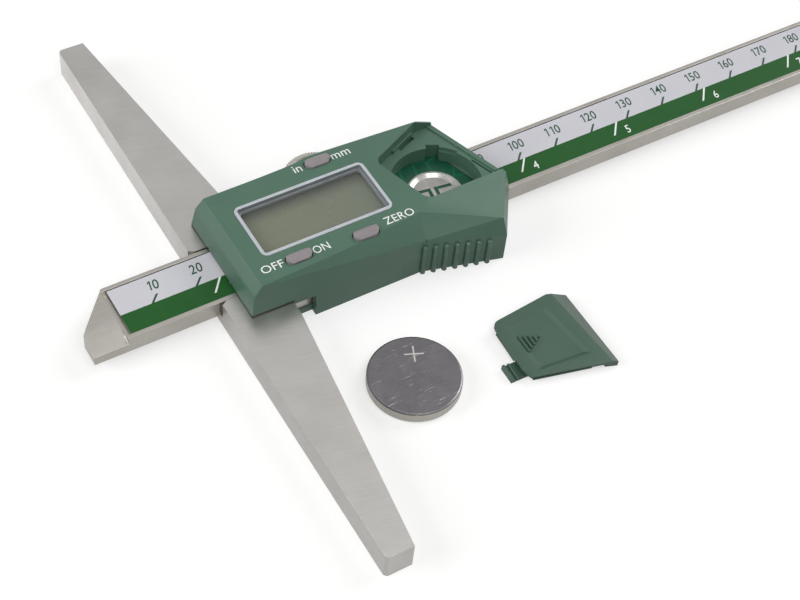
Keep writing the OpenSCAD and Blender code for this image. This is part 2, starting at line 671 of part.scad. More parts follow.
module coin_cell() color("Gainsboro") translate([cell_at[0], cell_at[1], 0]) rotate_extrude()
    polygon([[0, 0], [cell_d / 2 - 1.9, 0], [cell_d / 2 - 1.3, 0.35], [cell_d / 2 - 0.9, 0.35],
        [cell_d / 2 - 0.6, 0.25], [cell_d / 2 - 0.15, 0.45], [cell_d / 2, 0.8], [cell_d / 2, cell_t - 0.35],
        [cell_d / 2 - 0.12, cell_t - 0.1], [cell_d / 2 - 0.4, cell_t], [0, cell_t]]);

// ---- output ----

measuring_base();
gib_front();
gib_rear();
gib_screws();
beam();
scale_grid();
scale_label();
stop_screw();
housing();
back_cover();
cover_screws();
beam_wiper();
lcd_bezel();
lcd_window();
lcd_panel();
zebra_strips();
main_board();
board_screws();
switch_domes();
battery_dish();
battery_clip();
button_power();
button_zero();
button_units();
thumb_roller();
roller_pin();
battery_cover();
coin_cell();
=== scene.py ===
"""Looks for the digital depth caliper.

Finishes for its solids, softened mouldings and steel, the print on its scale, housing and coin
cell, the knurled thumb roller, and the plain studio around it.
"""

import logging
import math
from collections.abc import Callable, Iterable
from dataclasses import dataclass, field
from enum import Enum

import bpy
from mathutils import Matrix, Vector


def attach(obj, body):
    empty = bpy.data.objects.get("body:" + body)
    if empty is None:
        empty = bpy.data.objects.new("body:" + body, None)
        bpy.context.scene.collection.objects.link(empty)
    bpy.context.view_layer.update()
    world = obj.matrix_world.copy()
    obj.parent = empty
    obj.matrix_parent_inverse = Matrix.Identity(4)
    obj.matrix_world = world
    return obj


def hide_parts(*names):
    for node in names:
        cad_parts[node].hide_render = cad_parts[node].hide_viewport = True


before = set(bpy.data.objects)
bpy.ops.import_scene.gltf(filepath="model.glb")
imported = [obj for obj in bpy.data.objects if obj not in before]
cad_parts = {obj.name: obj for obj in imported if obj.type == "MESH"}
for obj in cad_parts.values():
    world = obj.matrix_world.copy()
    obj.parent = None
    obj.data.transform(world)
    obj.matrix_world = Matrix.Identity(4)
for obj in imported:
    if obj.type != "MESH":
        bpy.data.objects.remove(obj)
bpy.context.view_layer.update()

log = logging.getLogger("depth_caliper")

MM = 0.001
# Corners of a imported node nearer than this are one, and faces flatter to each other than this
# angle are one. Softened pieces shade smoothly over edges below the last angle.
WELD = 0.012 * MM
FLAT = math.radians(0.4)
SMOOTH = math.radians(38.0)
# Two heights in metres that differ by less are the same.
NEAR = 1e-6

Obj = bpy.types.Object
Tree = bpy.types.NodeTree
Socket = bpy.types.NodeSocket
Pair = tuple[float, float]
Test = Callable[[Vector, Vector], bool]


# ---- colours and nodes


def linear(colour: str) -> tuple[float, float, float, float]:
    """Turns an sRGB hex colour to linear.

    Args:
        colour: Six hex digits after a hash, as in "#52735f".

    Returns:
        Red, green, blue and an alpha of 1.
    """
    parts = [int(colour[i : i + 2], 16) / 255 for i in (1, 3, 5)]
    r, g, b = (p / 12.92 if p <= 0.04045 else ((p + 0.055) / 1.055) ** 2.4 for p in parts)
    return (r, g, b, 1.0)


def add_node(
    tree: Tree, kind: str, inputs: dict[str | int, object] | None = None, **settings: object
) -> bpy.types.Node:
    """Adds a node with its settings, values and links.

    Args:
        tree: The node tree that gets the node.
        kind: The node's type, without the ShaderNode before it.
        inputs: Values or sockets by input name or number. A socket is linked.
        **settings: Properties of the node itself.

    Returns:
        The new node.
    """
    node = tree.nodes.new("ShaderNode" + kind)
    for name, value in settings.items():
        setattr(node, name, value)
    for key, value in (inputs or {}).items():
        if isinstance(value, Socket):
            tree.links.new(value, node.inputs[key])
        else:
            node.inputs[key].default_value = value
    return node


def lay_over(
    tree: Tree,
    base: object,
    value: Socket,
    run: Pair,
    shares: Pair,
    colour: str,
    easing: str = "LINEAR",
) -> Socket:
    """Lays a colour over another by a share that follows a value.

    Args:
        tree: The node tree.
        base: The colour below.
        value: What the share follows.
        run: The values between which the share changes.
        shares: The share of the upper colour at both.
        colour: The upper colour.
        easing: How the share runs between them.

    Returns:
        The mixed colour.
    """
    share = add_node(
        tree,
        "MapRange",
        {
            "Value": value,
            "From Min": run[0],
            "From Max": run[1],
            "To Min": shares[0],
            "To Max": shares[1],
        },
        interpolation_type=easing,
    )
    factors = {0: share.outputs[0], 6: base, 7: linear(colour)}
    return add_node(tree, "Mix", factors, data_type="RGBA").outputs[2]


class Layout(Enum):
    """How a finish's grain lies."""

    EVEN = "even"
    ALONG_X = "along x"
    ALONG_Y = "along y"


@dataclass(frozen=True)
class Ground:
    """What a finish is worked on: its node tree, the place in millimetres and the fine relief."""

    tree: Tree
    mm: Socket
    height: Socket


@dataclass(frozen=True)
class Finish:
    """A finish made from two mottled colours, an uneven roughness and a fine relief.

    Sizes are in millimetres on the object itself.
    """

    name: str
    colour: str
    shade: str
    roughness: Pair
    mottle: float = 6.0
    grain: float = 0.3
    depth: float = 0.004
    layout: Layout = Layout.EVEN
    stretch: float = 30.0
    turn: float = 0.0
    metallic: float = 0.0
    ior: float = 1.5
    wear_share: float = 0.6

    def millimetres(self, tree: Tree) -> Socket:
        """Object coordinates in millimetres.

        Args:
            tree: The material's tree.

        Returns:
            The coordinates.
        """
        place = add_node(tree, "TexCoord").outputs["Object"]
        scaled = add_node(tree, "VectorMath", {0: place, "Scale": 1 / MM}, operation="SCALE")
        return scaled.outputs[0]

    def relief(self, tree: Tree, mm: Socket) -> Socket:
        """The fine relief from 0 to 1, drawn out along its direction.

        Args:
            tree: The material's tree.
            mm: Object coordinates in millimetres.

        Returns:
            The height.
        """
        long = 1 / self.stretch
        scales = {
            Layout.EVEN: (1.0, 1.0, 1.0),
            Layout.ALONG_X: (long, 1.0, 1.0),
            Layout.ALONG_Y: (1.0, long, 1.0),
        }
        turn = (0.0, 0.0, math.radians(-self.turn))
        turned = add_node(tree, "Mapping", {"Vector": mm, "Rotation": turn}).outputs[0]
        drawn = add_node(tree, "Mapping", {"Vector": turned, "Scale": scales[self.layout]})
        noise = add_node(
            tree,
            "TexNoise",
            {"Vector": drawn.outputs[0], "Scale": 1 / self.grain, "Detail": 3.0, "Roughness": 0.6},
        )
        return noise.outputs["Fac"]

    def tint(self, on: Ground) -> Socket:
        """The colour, mottled at the finish's own size.

        Args:
            on: What the finish is worked on.

        Returns:
            The colour.
        """
        patches = add_node(
            on.tree,
            "TexNoise",
            {"Vector": on.mm, "Scale": 1 / self.mottle, "Detail": 4.0, "Roughness": 0.55},
        )
        sum_of = {0: patches.outputs["Fac"], 1: on.height}
        both = add_node(on.tree, "Math", sum_of, operation="ADD").outputs[0]
        base = linear(self.colour)
        return lay_over(on.tree, base, both, (0.7, 1.3), (0.0, 1.0), self.shade)

    def surface(self, material: bpy.types.Material) -> bpy.types.Node:
        """Builds the shader and links it to the output.

        Args:
            material: The material that gets it.

        Returns:
            The principled shader.
        """
        tree = material.node_tree
        mm = self.millimetres(tree)
        on = Ground(tree, mm, self.relief(tree, mm))
        size = self.mottle * self.wear_share
        wear = add_node(tree, "TexNoise", {"Vector": mm, "Scale": 1 / size, "Detail": 2.0})
        rough = add_node(
            tree,
            "MapRange",
            {
                "Value": wear.outputs["Fac"],
                "From Min": 0.3,
                "From Max": 0.7,
                "To Min": self.roughness[0],
                "To Max": self.roughness[1],
            },
        )
        bump = add_node(tree, "Bump", {"Height": on.height, "Distance": self.depth * MM})
        shader = add_node(
            tree,
            "BsdfPrincipled",
            {
                "Base Color": self.tint(on),
                "Roughness": rough.outputs[0],
                "Normal": bump.outputs[0],
                "Metallic": self.metallic,
                "IOR": self.ior,
            },
        )
        add_node(tree, "OutputMaterial", {"Surface": shader.outputs[0]})
        return shader

    def build(self) -> bpy.types.Material:
        """Makes the material of this finish, once.

        Returns:
            The material.
        """
        known = bpy.data.materials.get(self.name)
        if known:
            return known
        material = bpy.data.materials.new(self.name)
        material.use_nodes = True
        material.node_tree.nodes.clear()
        self.surface(material)
        return material


# ---- special finishes


@dataclass(frozen=True)
class PrintedFilm(Finish):
    """Polyester scale film: white on one side of a line along the beam, green on the other."""

    band: str = "#16501c"
    band_light: str = "#1c5722"
    boundary: float = -0.88

    def tint(self, on: Ground) -> Socket:
        """White above the boundary and green below it, each slightly uneven.

        Args:
            on: What the finish is worked on.

        Returns:
            The colour.
        """
        across = add_node(on.tree, "SeparateXYZ", {0: on.mm}).outputs["Y"]
        below = add_node(on.tree, "Math", {0: across, 1: self.boundary}, operation="LESS_THAN")
        ink = add_node(on.tree, "TexNoise", {"Vector": on.mm, "Scale": 0.4, "Detail": 2.0})
        tones = {0: ink.outputs["Fac"], 6: linear(self.band), 7: linear(self.band_light)}
        green = add_node(on.tree, "Mix", tones, data_type="RGBA").outputs[2]
        sides = {0: below.outputs[0], 6: Finish.tint(self, on), 7: green}
        return add_node(on.tree, "Mix", sides, data_type="RGBA").outputs[2]


@dataclass(frozen=True)
class ScratchedSteel(Finish):
    """Pressed steel with fine scratches in three directions, as handled cells have."""

    scratch: str = "#c9c7c7"
    turns: tuple[float, ...] = (20.0, 75.0, -40.0)
    wall: str = "#b3afa8"
    wall_top: float = 2.9

    def tint(self, on: Ground) -> Socket:
        """The plain steel with lighter scratches, drawn about 0.1 mm wide so that they show.

        Args:
            on: What the finish is worked on.

        Returns:
            The colour.
        """
        tone = Finish.tint(self, on)
        for turn in self.turns:
            lines = add_node(
                on.tree,
                "Mapping",
                {
                    "Vector": on.mm,
                    "Rotation": (0.0, 0.0, math.radians(turn)),
                    "Scale": (0.08, 1.0, 1.0),
                },
            )
            marks = add_node(
                on.tree,
                "TexNoise",
                {"Vector": lines.outputs[0], "Scale": 1.6, "Detail": 5.0, "Roughness": 0.75},
            )
            strength = marks.outputs["Fac"]
            tone = lay_over(on.tree, tone, strength, (0.63, 0.69), (0.0, 0.9), self.scratch)
        # Below the top face the side wall is painted lighter: a painted sheen.
        up = add_node(on.tree, "SeparateXYZ", {0: on.mm}).outputs["Z"]
        brim = (self.wall_top - 0.1, self.wall_top)
        return lay_over(on.tree, tone, up, brim, (1.0, 0.0), self.wall)


@dataclass(frozen=True)
class SeamedShell(Finish):
    """Moulded plastic with painted shade along its lower edge over the steel base's 0.2 mm gap."""

    gap_top: float = 7.1
    fade: float = 0.55
    gap_end: float = 13.6
    dark: str = "#0b120e"

    def tint(self, on: Ground) -> Socket:
        """The plain plastic, with painted shade along the gap.

        Args:
            on: What the finish is worked on.

        Returns:
            The colour.
        """
        place = add_node(on.tree, "SeparateXYZ", {0: on.mm})
        along, up = place.outputs["X"], place.outputs["Z"]
        front = add_node(on.tree, "Math", {0: along, 1: self.gap_end}, operation="LESS_THAN")
        low = add_node(
            on.tree,
            "MapRange",
            {
                "Value": up,
                "From Min": self.gap_top,
                "From Max": self.gap_top + self.fade,
                "To Min": 1.0,
                "To Max": 0.0,
            },
            interpolation_type="SMOOTHSTEP",
        )
        # Painted shade: near black low down on the shell, in front only.
        both = {0: low.outputs[0], 1: front.outputs[0]}
        share = add_node(on.tree, "Math", both, operation="MULTIPLY").outputs[0]
        tones = {0: share, 6: Finish.tint(self, on), 7: linear(self.dark)}
        return add_node(on.tree, "Mix", tones, data_type="RGBA").outputs[2]


@dataclass(frozen=True)
class TracedBoard(Finish):
    """Glass-fibre board under solder mask: copper tracks 0.4 mm wide show lighter through it."""

    track: str = "#117a56"

    def tint(self, on: Ground) -> Socket:
        """Mask green with lighter tracks.

        Args:
            on: What the finish is worked on.

        Returns:
            The colour.
        """
        warp = add_node(on.tree, "TexNoise", {"Vector": on.mm, "Scale": 0.35, "Detail": 1.0})
        places = {0: 0.02, 4: on.mm, 5: warp.outputs["Color"]}
        bent = add_node(on.tree, "Mix", places, data_type="VECTOR").outputs[1]
        cells = add_node(
            on.tree, "TexVoronoi", {"Vector": bent, "Scale": 0.2}, feature="DISTANCE_TO_EDGE"
        )
        edge = cells.outputs["Distance"]
        plain = Finish.tint(self, on)
        return lay_over(on.tree, plain, edge, (0.03, 0.06), (0.45, 0.0), self.track)


@dataclass(frozen=True)
class ClearPane(Finish):
    """Clear acrylic pane: mostly see-through, with a sharp gloss."""

    alpha: float = 0.08

    def surface(self, material: bpy.types.Material) -> bpy.types.Node:
        """The plain shader, let through by its alpha.

        Args:
            material: The material that gets it.

        Returns:
            The principled shader.
        """
        shader = Finish.surface(self, material)
        shader.inputs["Alpha"].default_value = self.alpha
        return shader


@dataclass(frozen=True)
class LcdGlass(Finish):
    """Reflective LCD glass: grey-green, greener in front, with painted shade below the far rim."""

    tip: str = "#6a7150"
    dim: str = "#25281f"
    start: float = 11.0
    length: float = 30.0
    frame_edge: float = 6.9
    shade_width: float = 4.2

    def tint(self, on: Ground) -> Socket:
        """The glass tint, which shifts along the display, with painted shade toward the far rim.

        Args:
            on: What the finish is worked on.

        Returns:
            The colour.
        """
        place = add_node(on.tree, "SeparateXYZ", {0: on.mm})
        along, across = place.outputs["X"], place.outputs["Y"]
        run = (self.start, self.start + self.length)
        tone = lay_over(on.tree, Finish.tint(self, on), along, run, (0.8, 0.0), self.tip)
        # Painted shade: darker toward the far rim, where the frame would shade the glass.
        far = (self.frame_edge - self.shade_width, self.frame_edge)
        return lay_over(on.tree, tone, across, far, (0.0, 0.95), self.dim, "SMOOTHSTEP")


# Stainless steel, hardened and surface ground: a pale warm grey with fine straight grinding marks,
# drawn 0.12 mm apart, about twice as coarse as a 120 grit wheel leaves them, so that they show.
GROUND_STEEL = Finish(
    "ground_stainless_steel", "#c3c1be", "#b6b3af", (0.26, 0.36), 14.0, 0.12, 0.0035,
    Layout.ALONG_X, 45.0, -14.0, metallic=1.0,
)
# The same steel ground along the beam.
BEAM_STEEL = Finish(
    "ground_beam_steel", "#b9b6b0", "#a9a59e", (0.24, 0.34), 12.0, 0.12, 0.003,
    Layout.ALONG_X, 60.0, metallic=1.0,
)
# Phosphor bronze strip, rolled: dull brown gold.
GIB_BRONZE = Finish(
    "rolled_phosphor_bronze", "#a5814f", "#8d6b3f", (0.3, 0.45), 5.0, 0.2, 0.002,
    Layout.ALONG_X, 20.0, metallic=1.0,
)
# Blackened steel grub screws: near black with a faint oil gloss.
BLACK_STEEL = Finish(
    "blackened_steel", "#2c2b2a", "#3a3836", (0.35, 0.5), 2.0, 0.1, 0.002, metallic=1.0
)
# Zinc plated steel screws: bright and slightly blue.
ZINC_STEEL = Finish(
    "zinc_plated_steel", "#b7b8ba", "#a3a4a8", (0.22, 0.35), 2.0, 0.1, 0.002, metallic=1.0
)
# Glass-fibre laminate that carries the measuring grid: grey brown with a fine weave.
GRID_BOARD = Finish("glass_fibre_laminate", "#6a685c", "#55544a", (0.45, 0.6), 3.0, 0.5, 0.01)
# Printed polyester film over the grid: satin white and green.
SCALE_FILM = PrintedFilm(
    "printed_polyester_film", "#d0d0d5", "#cacad1", (0.3, 0.4), 9.0, 0.4, 0.002, ior=1.35
)
# Moulded ABS, dark grey green, spark-eroded tool: a fine even texture about 0.25 mm across.
# It carries painted shade along its lower front edge over the base.
HOUSING_ABS = SeamedShell(
    "moulded_green_abs", "#4b6d5b", "#476757", (0.36, 0.46), 12.0, 0.25, 0.0035
)
# The back cover is the same ABS, slightly darker from its own batch.
BACK_ABS = Finish("moulded_green_abs_back", "#486857", "#446253", (0.38, 0.48), 12.0, 0.25, 0.004)
# The battery cover is the same ABS, slightly greyer.
COVER_ABS = Finish(
    "moulded_green_abs_cover", "#3b5848", "#375243", (0.36, 0.46), 9.0, 0.25, 0.0035
)
# The cover's sloping flap: the same ABS, smoother, and paler from a painted sheen.
FLAP_PAINTED_SHEEN = Finish("green_abs_painted_sheen", "#5b6b61", "#54645a", (0.28, 0.36), 9.0, 0.25, 0.0025)
# Polyoxymethylene wiper: dull grey.
WIPER_POM = Finish("grey_polyoxymethylene", "#6a6768", "#5f5c5e", (0.45, 0.55), 4.0, 0.3, 0.003)
# Silver lacquer on moulded ABS: a fine metallic flake, slightly blue.
BEZEL_LACQUER = Finish(
    "silver_lacquer", "#c6cbd0", "#b9bec4", (0.3, 0.4), 3.0, 0.12, 0.002, metallic=0.1
)
# The rim's inner walls and ledge: the same silver lacquer, painted darker grey as painted shade.
BEZEL_PAINTED_SHADE = Finish(
    "silver_lacquer_painted_shade", "#868c90", "#787e82", (0.4, 0.5), 3.0, 0.12, 0.002, metallic=0.1
)
# Cast clear acrylic: nothing but a sharp gloss.
PANE_ACRYLIC = ClearPane(
    "clear_acrylic", "#c9cfc6", "#c2c8c0", (0.03, 0.06), 8.0, 2.0, 0.0005, ior=1.49
)
# Display glass over a matt reflector: grey green with a soft gloss and painted shade.
LCD_GLASS = LcdGlass("reflective_lcd_glass", "#656b5b", "#5f6555", (0.22, 0.3), 10.0, 0.15, 0.001)
# Layered silicone rubber strips: pinkish grey.
ZEBRA_SILICONE = Finish(
    "layered_silicone", "#8b6f78", "#40363a", (0.6, 0.7), 2.0, 0.12, 0.01, Layout.ALONG_Y, 20.0
)
# Solder mask printed on glass-fibre board: deep green, half gloss.
BOARD_MASK = TracedBoard("solder_mask_board", "#0a563d", "#07402d", (0.3, 0.42), 4.0, 0.5, 0.006)
# Stainless spring strip: bright, rolled.
SPRING_STEEL = Finish(
    "stainless_spring_strip", "#c9c8c4", "#b9b7b2", (0.18, 0.28), 3.0, 0.1, 0.002,
    Layout.ALONG_X, 25.0, metallic=1.0,
)
# Nickel plated contact: bright, with cloudy patches.
CONTACT_NICKEL = Finish(
    "nickel_plated_contact", "#c2c1bd", "#8f8e8b", (0.14, 0.24), 4.0, 0.15, 0.002, metallic=1.0
)
# Gold flashed bronze spring: warm and bright.
CONTACT_GOLD = Finish(
    "gold_flashed_bronze", "#c79a4b", "#b5893f", (0.2, 0.3), 2.0, 0.15, 0.002, metallic=1.0
)
# Moulded buttons: pinkish grey ABS with a satin skin.
BUTTON_ABS = Finish("moulded_grey_abs", "#938c8e", "#8a8385", (0.32, 0.42), 2.5, 0.2, 0.003)
# Knurled and nickel plated steel roller: bright tops.
ROLLER_STEEL = Finish(
    "knurled_plated_steel", "#c6c3bd", "#b2aea7", (0.2, 0.3), 2.0, 0.15, 0.002, metallic=1.0
)
# Nickel plated pressed steel of the coin cell: darker than the ground steel, with scratches.
# Its side wall carries a painted sheen.
CELL_STEEL = ScratchedSteel(
    "nickel_plated_cell_steel", "#7a787a", "#6c6a6d", (0.24, 0.34), 5.0, 0.25, 0.002,
    Layout.ALONG_X, 12.0, metallic=1.0,
)
# Laser-marked steel: a pale matt scratch of the same metal.
MARKED_STEEL = Finish(
    "laser_marked_steel", "#c9c7c4", "#b5b3b1", (0.4, 0.55), 1.0, 0.1, 0.004, metallic=0.7
)
# Screen inks: nearly matt.
GREEN_INK = Finish("dark_green_ink", "#16402c", "#1b4733", (0.4, 0.5), 2.0, 0.1, 0.001)
WHITE_INK = Finish("white_ink", "#f6f7f5", "#f0f2ef", (0.4, 0.5), 2.0, 0.1, 0.001)


# ---- modelling helpers


def only(obj: Obj) -> None:
    """Selects one object alone and makes it active.

    Args:
        obj: The object.
    """
    bpy.ops.object.select_all(action="DESELECT")
    obj.select_set(True)
    bpy.context.view_layer.objects.active = obj


def deselect() -> None:
    """Deselects every object."""
    bpy.ops.object.select_all(action="DESELECT")


def leave_edit() -> None:
    """Returns to object mode."""
    bpy.ops.object.mode_set(mode="OBJECT")


def edit(obj: Obj, mode: str = "VERT") -> None:
    """Opens an object in edit mode with nothing selected.

    Args:
        obj: The mesh to edit.
        mode: VERT, EDGE or FACE.
    """
    only(obj)
    bpy.ops.object.mode_set(mode="EDIT")
    bpy.ops.mesh.select_mode(type=mode)
    bpy.ops.mesh.select_all(action="DESELECT")


def select_whole() -> None:
    """Selects the whole mesh in edit mode."""
    bpy.ops.mesh.select_all(action="SELECT")


def pick(obj: Obj, part: str, test: Test) -> None:
    """Selects vertices, edges or faces of the mesh in edit mode by their place and normal.

    Args:
        obj: The mesh in edit mode.
        part: "vertices", "edges" or "polygons".
        test: Takes a centre and a normal in metres and says whether to select it.
    """
    bpy.ops.mesh.select_all(action="DESELECT")
    leave_edit()
    mesh = obj.data
    for item in getattr(mesh, part):
        if part == "edges":
            a, b = (mesh.vertices[i] for i in item.vertices)
            item.select = test((a.co + b.co) / 2, a.normal)
        else:
            item.select = test(item.co if part == "vertices" else item.center, item.normal)
    bpy.ops.object.mode_set(mode="EDIT")


def settle(obj: Obj, name: str) -> Obj:
    """Puts an object's place into its mesh and names it.

    Args:
        obj: The object.
        name: Its new name, and its mesh's.

    Returns:
        The same object, at the origin, unturned and unscaled.
    """
    only(obj)
    bpy.ops.object.transform_apply(location=True, rotation=True, scale=True)
    obj.name = obj.data.name = name
    return obj


def joined(parts: list[Obj], name: str) -> Obj:
    """Joins objects into one and settles it.

    Args:
        parts: The objects, of which the first takes the others in.
        name: The name of the whole.

    Returns:
        The joined object.
    """
    deselect()
    for part in parts:
        part.select_set(True)
    bpy.context.view_layer.objects.active = parts[0]
    if len(parts) > 1:
        bpy.ops.object.join()
    return settle(parts[0], name)


def apply_modifier(obj: Obj, kind: str, **settings: object) -> None:
    """Adds a modifier and applies it.

    Args:
        obj: The object that gets it.
        kind: The modifier's type.
        **settings: The modifier's properties.
    """
    only(obj)
    modifier = obj.modifiers.new(kind.lower(), kind)
    for key, value in settings.items():
        setattr(modifier, key, value)
    bpy.ops.object.modifier_apply(modifier=modifier.name)


def finish_with(obj: Obj, finish: Finish) -> None:
    """Gives an object one finish in place of its own."""
    obj.data.materials.clear()
    obj.data.materials.append(finish.build())


def dress(node: str, finish: Finish) -> None:
    """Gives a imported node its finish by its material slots.

    Args:
        node: The node's name.
        finish: What it is made of.
    """
    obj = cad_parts[node]
    material = finish.build()
    if not obj.material_slots:
        obj.data.materials.append(material)
    for slot in obj.material_slots:
        slot.material = material
    log.info("%s: %s", node, finish.name)


def softened(
    node: str,
    name: str,
    body: str,
    finish: Finish,
    radius: float,
    angle: float = 30.0,
    own_way: Callable[[Obj, float], None] | None = None,
) -> Obj:
    """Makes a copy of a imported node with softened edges, which stands for it.

    Args:
        node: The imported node.
        name: The new piece's name.
        body: The body that it rides on.
        finish: What it is made of.
        radius: Width of the softened edges in millimetres.
        angle: Edges sharper than this, in degrees, are softened.
        own_way: Softens the edges instead, where the shape needs a way of its own.

    Returns:
        The new piece.
    """
    obj = bpy.data.objects.new(name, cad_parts[node].data.copy())
    bpy.context.scene.collection.objects.link(obj)
    obj.data.name = name
    only(obj)
    bpy.ops.object.mode_set(mode="EDIT")
    select_whole()
    bpy.ops.mesh.remove_doubles(threshold=WELD)
    bpy.ops.mesh.dissolve_limited(angle_limit=FLAT)
    leave_edit()
    if obj.data.has_custom_normals:
        bpy.ops.mesh.customdata_custom_splitnormals_clear()
    if own_way:
        own_way(obj, radius)
    else:
        apply_modifier(
            obj,
            "BEVEL",
            width=radius * MM,
            segments=2,
            limit_method="ANGLE",
            angle_limit=math.radians(angle),
            use_clamp_overlap=True,
        )
    only(obj)
    bpy.ops.object.shade_smooth_by_angle(angle=SMOOTH)
    apply_modifier(obj, "WEIGHTED_NORMAL", keep_sharp=True)
    finish_with(obj, finish)
    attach(obj, body)
    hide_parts(node)
    log.info("%s stands for %s", name, node)
    return obj


def skin(obj: Obj, finish: Finish, test: Test) -> None:
    """Gives some faces of a piece a finish of their own.

    Args:
        obj: The piece.
        finish: The finish of those faces.
        test: Takes a face's centre and normal and says whether it is one of them.
    """
    obj.data.materials.append(finish.build())
    edit(obj, "FACE")
    pick(obj, "polygons", test)
    obj.active_material_index = len(obj.data.materials) - 1
    bpy.ops.object.material_slot_assign()
    leave_edit()


# ---- print


@dataclass(frozen=True)
class Word:
    """A printed word: what it says, where its baseline starts, and how tall and wide it is."""

    text: str
    x: float
    y: float
    cap: float
    squeeze: float = 1.0
    centred: bool = False
    lean: float = 0.0


@dataclass(frozen=True)
class Ink:
    """Print of one colour on one face, as a film of ink."""

    # The face's height, the film's thickness and how far it spreads, in millimetres.
    finish: Finish
    level: float
    film: float = 0.015
    swell: float = 0.0
    # Shares of a figure's height or width, and of the font's size for a capital.
    cap_share: float = 0.682
    advance: float = 0.6
    narrow: float = 0.8
    stem: float = 0.125
    lean: float = 0.18
    one_shift: float = 0.1
    flag: Pair = (0.25, 0.76)
    flag_root: float = 0.4

    def number(self, text: str, x: float, y: float, height: float) -> list[Obj]:
        """A number in narrow leaning figures, centred on x, whose ones carry a flag.

        Args:
            text: Its digits.
            x: The middle of the number in millimetres.
            y: Its baseline.
            height: How tall the figures are.

        Returns:
            The meshes of its figures.
        """
        made = []
        thick = self.stem * height
        for i, digit in enumerate(text):
            at = x + (i - (len(text) - 1) / 2) * self.advance * height - self.lean * height / 2
            if digit != "1":
                made.append(self.word(Word(digit, at, y, height, self.narrow, True, self.lean)))
                continue
            foot = at + self.one_shift * height
            head = foot + self.lean * height
            made.append(self.stroke((foot, y), (head, y + height), thick))
            flag = (head - self.flag[0] * height, y + self.flag[1] * height)
            made.append(self.stroke(flag, (head - self.flag_root * thick, y + height), thick))
        return made

    def word(self, word: Word) -> Obj:
        """One word as a mesh.

        Args:
            word: The word and its place.

        Returns:
            The mesh object.
        """
        deselect()
        bpy.ops.object.text_add(location=(word.x * MM, word.y * MM, self.level * MM))
        obj = bpy.context.object
        obj.data.body = word.text
        obj.data.size = word.cap * MM / self.cap_share
        obj.data.align_x = "CENTER" if word.centred else "LEFT"
        obj.data.resolution_u = 3
        obj.data.extrude = self.film * MM
        obj.data.offset = self.swell * MM
        obj.data.shear = word.lean
        obj.scale = (word.squeeze, 1.0, 1.0)
        bpy.ops.object.convert(target="MESH")
        return bpy.context.object

    def stroke(self, start: Pair, end: Pair, width: float) -> Obj:
        """A slanted stroke whose ends lie along X.

        Args:
            start: The middle of its lower end in millimetres.
            end: The middle of its upper end.
            width: Its width along X.

        Returns:
            The mesh object.
        """
        deselect()
        middle_y = (start[1] + end[1]) / 2
        bpy.ops.mesh.primitive_plane_add(
            size=MM, location=(start[0] * MM, middle_y * MM, self.level * MM)
        )
        obj = bpy.context.object
        edit(obj)
        select_whole()
        bpy.ops.transform.resize(value=(width, end[1] - start[1], 1.0))
        pick(obj, "vertices", lambda co, _: co.y > 0)
        bpy.ops.transform.translate(value=((end[0] - start[0]) * MM, 0.0, 0.0))
        select_whole()
        bpy.ops.mesh.extrude_region_move(
            TRANSFORM_OT_translate={"value": (0.0, 0.0, self.film * MM)}
        )
        select_whole()
        bpy.ops.mesh.normals_make_consistent(inside=False)
        leave_edit()
        return obj

    def copies(self, obj: Obj, steps: Iterable[float]) -> list[Obj]:
        """Copies a mesh along X.

        Args:
            obj: The object to copy, which stays the first.
            steps: How far each copy lies from it in millimetres.

        Returns:
            The object and its copies.
        """
        made = [obj]
        for step in steps:
            copy = obj.copy()
            copy.data = obj.data.copy()
            copy.location.x += step * MM
            bpy.context.scene.collection.objects.link(copy)
            made.append(copy)
        return made

    def lay(self, parts: list[Obj], name: str, body: str) -> Obj:
        """Joins print into one piece on a body.

        Args:
            parts: Strokes and words.
            name: The piece's name.
            body: The body that carries it.

        Returns:
            The piece.
        """
        obj = joined(parts, name)
        finish_with(obj, self.finish)
        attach(obj, body)
        log.info("%s printed on %s", name, body)
        return obj


# ---- sub-assemblies


@dataclass
class SliderFrame:
    """The ground bridge base with its slider frame, gibs and gib screws."""

    edge: float = 0.12
    body: str = "slider"

    def build(self) -> None:
        """Softens the base and dresses the gibs and their screws."""
        softened("measuring_base", "base_bar", self.body, GROUND_STEEL, self.edge)
        dress("gib_front", GIB_BRONZE)
        dress("gib_rear", GIB_BRONZE)
        dress("gib_screws", BLACK_STEEL)


